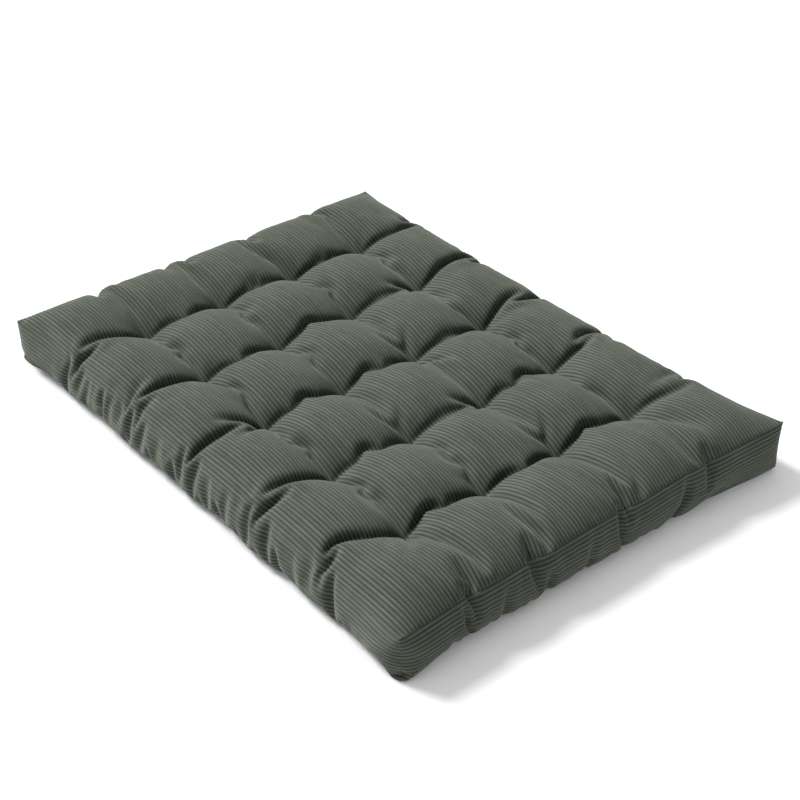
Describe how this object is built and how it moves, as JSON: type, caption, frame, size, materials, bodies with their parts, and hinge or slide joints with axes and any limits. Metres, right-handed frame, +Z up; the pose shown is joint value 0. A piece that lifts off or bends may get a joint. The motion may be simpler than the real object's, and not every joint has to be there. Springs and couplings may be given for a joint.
{
  "type": "futon mattress",
  "caption": "Thick rectangular futon mattress in wide-wale corduroy, boxed edges and deep tufts that gather the top into puffy pillows.",
  "frame": {"origin": "on the floor under the middle of the mattress", "axes": "+X along the length towards the foot end, +Y across the width, +Z up through the thickness"},
  "size_m": [1.9, 1.4, 0.2],
  "materials": {
    "corduroy": "matte",
    "thread": "matte",
    "foam": "matte",
    "batting": "matte",
    "twine": "matte"
  },
  "bodies": {
    "root": {"top_panel": "corduroy", "bottom_panel": "corduroy", "boxing_head": "corduroy", "boxing_foot": "corduroy", "boxing_right": "corduroy", "boxing_left": "corduroy", "top_seam_thread": "thread", "bottom_seam_thread": "thread", "closing_seam_thread": "thread", "corner_seam_thread_head_right": "thread", "corner_seam_thread_head_left": "thread", "corner_seam_thread_foot_right": "thread", "corner_seam_thread_foot_left": "thread", "foam_core": "foam", "upper_batting": "batting", "lower_batting": "batting", "tuft_tie_1_1": "twine", "tuft_tie_1_2": "twine", "tuft_tie_1_3": "twine", "tuft_tie_1_4": "twine", "tuft_tie_2_1": "twine", "tuft_tie_2_2": "twine", "tuft_tie_2_3": "twine", "tuft_tie_2_4": "twine", "tuft_tie_3_1": "twine", "tuft_tie_3_2": "twine", "tuft_tie_3_3": "twine", "tuft_tie_3_4": "twine", "tuft_tie_4_1": "twine", "tuft_tie_4_2": "twine", "tuft_tie_4_3": "twine", "tuft_tie_4_4": "twine", "tuft_tie_5_1": "twine", "tuft_tie_5_2": "twine", "tuft_tie_5_3": "twine", "tuft_tie_5_4": "twine"}
  },
  "joints": []
}
